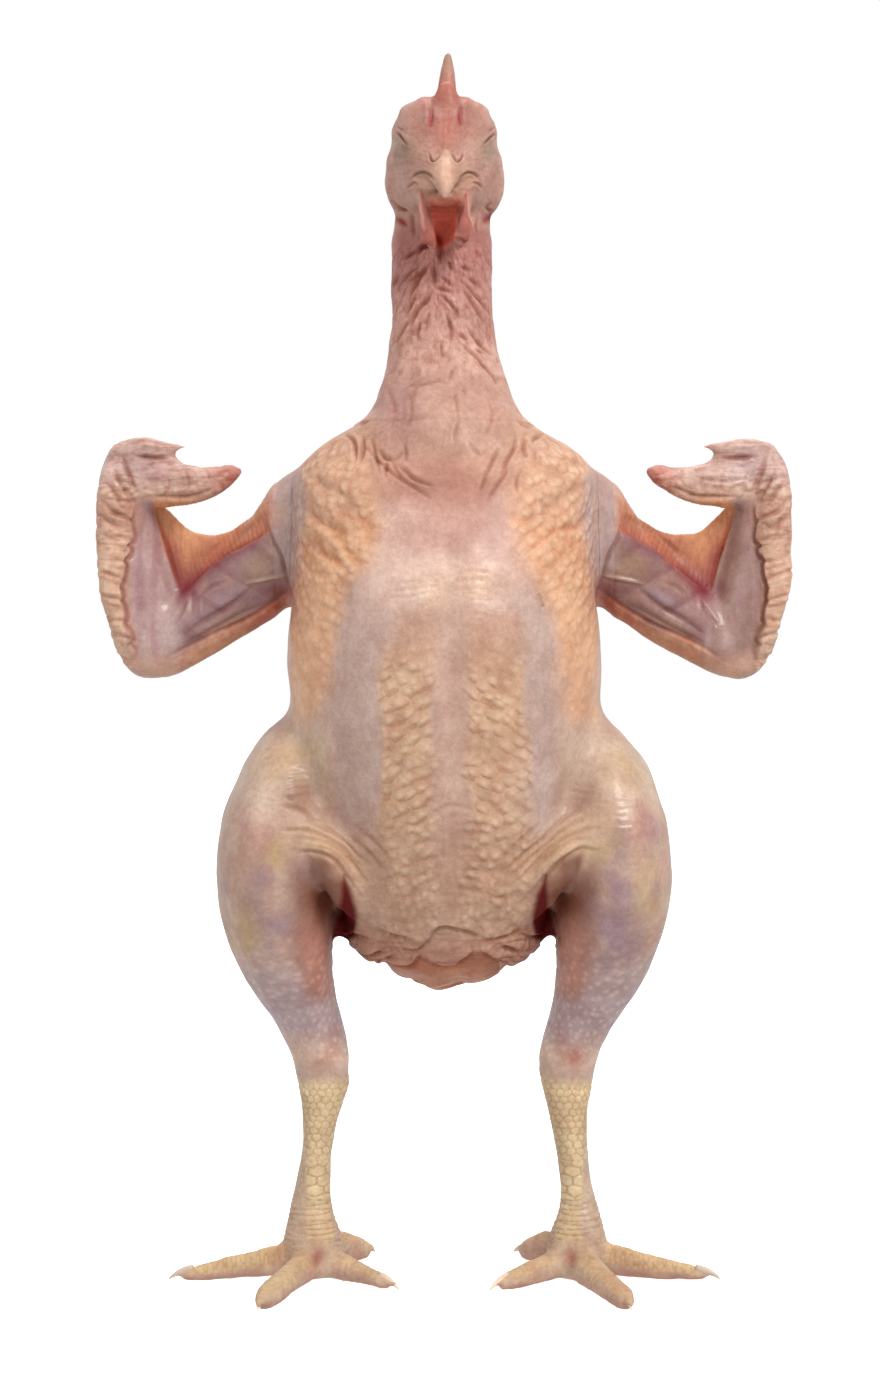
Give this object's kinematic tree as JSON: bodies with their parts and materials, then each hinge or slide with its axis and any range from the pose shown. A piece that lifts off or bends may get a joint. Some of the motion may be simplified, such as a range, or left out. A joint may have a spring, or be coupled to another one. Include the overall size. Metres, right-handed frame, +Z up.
{
  "type": "whole raw chicken",
  "caption": "Plucked whole raw chicken with head, comb, wings and feet, standing upright on its toes with both wings held up.",
  "frame": {"origin": "on the floor, under the middle of the bird's bounding box", "axes": "+Z up to the comb, -Y the breast and face, +X the bird's left wing"},
  "size_m": [0.2964, 0.1222, 0.5124],
  "materials": {
    "skin": "moist raw poultry skin, pink to yellowish, softly glossy"
  },
  "bodies": {
    "root": {"chicken": "skin"}
  },
  "joints": []
}
